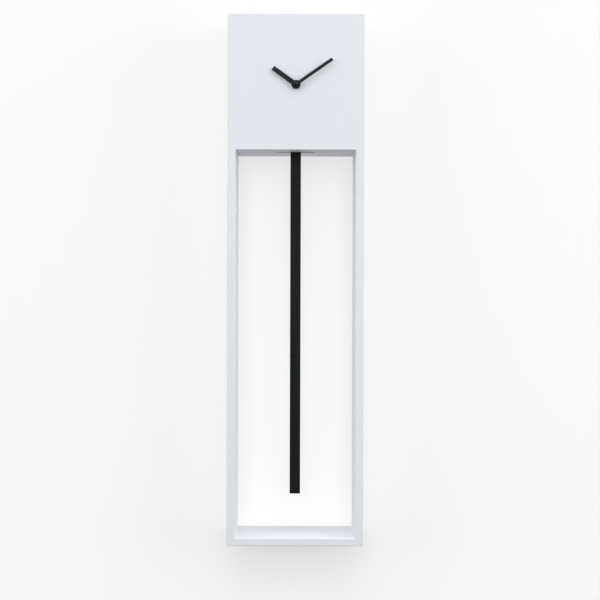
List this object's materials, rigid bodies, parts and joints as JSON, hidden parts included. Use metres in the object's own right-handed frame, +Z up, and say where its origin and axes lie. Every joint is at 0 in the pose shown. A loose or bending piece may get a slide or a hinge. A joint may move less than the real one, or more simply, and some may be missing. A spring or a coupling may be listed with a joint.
{
  "type": "pendulum wall clock",
  "caption": "Tall narrow wall clock: plain square head with two bar hands, and a flat bar pendulum swinging in an open box frame below.",
  "frame": {"origin": "centre of the keyhole's round entry hole, on the plane of the wall behind the clock", "axes": "+Z up along the clock's height, +Y into the wall, +X to the right of someone facing the dial; the dial faces -Y"},
  "size_m": [0.18, 0.0983, 0.7],
  "materials": {
    "white_lacquer": "matt white lacquer on wood board",
    "bare_wood": "plain beech",
    "black_hand": "matt black paint on sheet aluminium",
    "black_bar": "satin black powder coat on flat bar",
    "zinc_steel": "zinc plated steel",
    "brass": "turned brass",
    "black_rubber": "soft black rubber",
    "housing_plastic": "fine grained black moulding",
    "gear_plastic": "natural acetal moulding",
    "knob_plastic": "pale moulding",
    "magnet": "sintered magnet",
    "iron": "bare sheet iron",
    "copper": "enamelled copper wire",
    "board": "green solder mask",
    "chip": "black epoxy",
    "can_metal": "drawn metal can",
    "battery_sleeve": "printed sleeve with no lettering",
    "gloss_black": "glossy black plating"
  },
  "bodies": {
    "case": {"left_side": "white_lacquer", "right_side": "white_lacquer", "top_panel": "white_lacquer", "base_panel": "white_lacquer", "dial_panel": "white_lacquer", "pendulum_shelf": "white_lacquer", "panel_dowels": "bare_wood", "hanging_rail": "white_lacquer", "hanger_plate": "zinc_steel", "hanger_screws": "zinc_steel", "movement_housing": "housing_plastic", "back_cover": "housing_plastic", "cover_screws": "zinc_steel", "middle_plate": "gear_plastic", "minute_wheel_stud": "zinc_steel", "threaded_bush": "brass", "rubber_washer": "black_rubber", "fixing_washer": "gloss_black", "fixing_nut": "gloss_black", "stator": "iron", "motor_core": "iron", "motor_bobbin": "gear_plastic", "motor_winding": "copper", "board_post": "housing_plastic", "circuit_board": "board", "timing_chip": "chip", "quartz_crystal": "can_metal", "drive_board": "board", "drive_capacitor": "can_metal", "drive_bobbin": "gear_plastic", "drive_winding": "copper", "battery": "battery_sleeve", "battery_contact_plate": "zinc_steel", "battery_contact_spring": "zinc_steel", "pivot_pin": "zinc_steel", "pivot_clip": "zinc_steel"},
    "minute_shaft": {"minute_arbor": "brass", "minute_hand": "black_hand", "cap_nut": "gloss_black"},
    "hour_tube": {"hour_wheel": "gear_plastic", "hour_hand": "black_hand"},
    "motion_wheel": {"minute_wheel": "gear_plastic"},
    "setting_shaft": {"setting_arbor": "gear_plastic", "setting_knob": "knob_plastic"},
    "centre_gear": {"centre_wheel": "gear_plastic"},
    "third_gear": {"third_wheel": "gear_plastic"},
    "seconds_gear": {"seconds_wheel": "gear_plastic"},
    "intermediate_gear": {"intermediate_wheel": "gear_plastic"},
    "rotor": {"rotor_pinion": "gear_plastic", "rotor_magnet": "magnet"},
    "pendulum": {"swing_arm": "knob_plastic", "arm_magnet": "magnet", "bar_hanger": "zinc_steel", "bar_rivets": "zinc_steel", "pendulum_bar": "black_bar"}
  },
  "joints": [
    {"name": "minute_hand_turn", "type": "hinge", "parent": "case", "child": "minute_shaft", "pos_m": [0, -0.09, -0.063], "axis": [0, 1, 0], "continuous": true},
    {"name": "hour_hand_turn", "type": "hinge", "parent": "case", "child": "hour_tube", "pos_m": [0, -0.09, -0.063], "axis": [0, 1, 0], "continuous": true},
    {"name": "motion_wheel_turn", "type": "hinge", "parent": "case", "child": "motion_wheel", "pos_m": [0.0096, -0.0778, -0.063], "axis": [0, 1, 0], "continuous": true},
    {"name": "setting_knob_turn", "type": "hinge", "parent": "case", "child": "setting_shaft", "pos_m": [0.01746, -0.062, -0.06851], "axis": [0, 1, 0], "continuous": true},
    {"name": "seconds_gear_turn", "type": "hinge", "parent": "case", "child": "seconds_gear", "pos_m": [0, -0.0719, -0.063], "axis": [0, 1, 0], "continuous": true},
    {"name": "intermediate_gear_turn", "type": "hinge", "parent": "case", "child": "intermediate_gear", "pos_m": [-0.00588, -0.0705, -0.05282], "axis": [0, 1, 0], "continuous": true},
    {"name": "rotor_turn", "type": "hinge", "parent": "case", "child": "rotor", "pos_m": [0.00098, -0.0738, -0.04706], "axis": [0, 1, 0], "continuous": true},
    {"name": "third_gear_turn", "type": "hinge", "parent": "case", "child": "third_gear", "pos_m": [-0.00947, -0.0733, -0.06963], "axis": [0, 1, 0], "continuous": true},
    {"name": "centre_gear_turn", "type": "hinge", "parent": "case", "child": "centre_gear", "pos_m": [0, -0.0748, -0.063], "axis": [0, 1, 0], "continuous": true},
    {"name": "pendulum_swing", "type": "hinge", "parent": "case", "child": "pendulum", "pos_m": [0, -0.062, -0.087], "axis": [0, 1, 0], "range_deg": [-6, 6]}
  ],
  "couplings": [
    {"joint": "hour_hand_turn", "follows": "minute_hand_turn", "ratio": 0.083333},
    {"joint": "motion_wheel_turn", "follows": "minute_hand_turn", "ratio": -0.33333},
    {"joint": "setting_knob_turn", "follows": "minute_hand_turn", "ratio": 1},
    {"joint": "intermediate_gear_turn", "follows": "seconds_gear_turn", "ratio": -5},
    {"joint": "rotor_turn", "follows": "seconds_gear_turn", "ratio": 30},
    {"joint": "third_gear_turn", "follows": "seconds_gear_turn", "ratio": -0.13333},
    {"joint": "centre_gear_turn", "follows": "seconds_gear_turn", "ratio": 0.016667}
  ]
}
